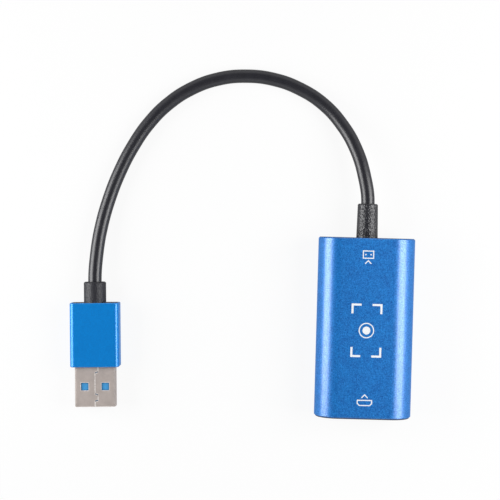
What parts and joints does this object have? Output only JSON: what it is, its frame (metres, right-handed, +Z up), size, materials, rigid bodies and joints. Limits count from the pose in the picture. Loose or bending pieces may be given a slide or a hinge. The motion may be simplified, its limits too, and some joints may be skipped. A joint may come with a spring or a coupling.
{
  "type": "video capture box",
  "caption": "Flat metal box with rounded sides, a video socket in one end and a short captive cable to a data plug at the other, which passes a video signal to a computer.",
  "frame": {"origin": "on the surface the case rests on, under the middle of the case", "axes": "+Z up, +Y along the case from its video socket towards its cable, +X to the right of that"},
  "size_m": [0.1017, 0.1023, 0.013],
  "materials": {
    "case_blue": "bead-blasted, anodised blue",
    "sleeve_blue": "smooth, anodised blue",
    "moulding_black": "moulded, fine texture",
    "sheath": "soft matte sheath",
    "board_green": "solder mask",
    "nickel": "nickel plated sheet",
    "insulator_black": "moulded",
    "insulator_blue": "moulded",
    "gold": "plated contact",
    "chip_black": "moulded package",
    "ceramic": "ceramic",
    "tin": "tinned",
    "copper": "insulated wire"
  },
  "bodies": {
    "root": {"housing_tube": "case_blue", "input_cap": "moulding_black", "output_cap": "moulding_black", "circuit_board": "board_green", "socket_shell": "nickel", "socket_insulator": "insulator_black", "socket_contacts": "gold", "capture_chip": "chip_black", "flash_chip": "chip_black", "crystal": "tin", "regulator": "chip_black", "inductor": "chip_black", "capacitors": "ceramic", "resistors": "chip_black", "surge_arrays": "chip_black", "cable_boot": "sheath", "cable_tail": "sheath", "cable_leads": "copper", "solder_joints": "tin", "cable": "sheath", "plug_boot": "sheath", "plug_sleeve": "sleeve_blue", "plug_core": "moulding_black", "plug_shell": "nickel", "plug_insulator": "insulator_blue", "plug_contacts": "gold", "plug_springs": "gold", "plug_tail": "sheath", "plug_leads": "copper"}
  },
  "joints": []
}
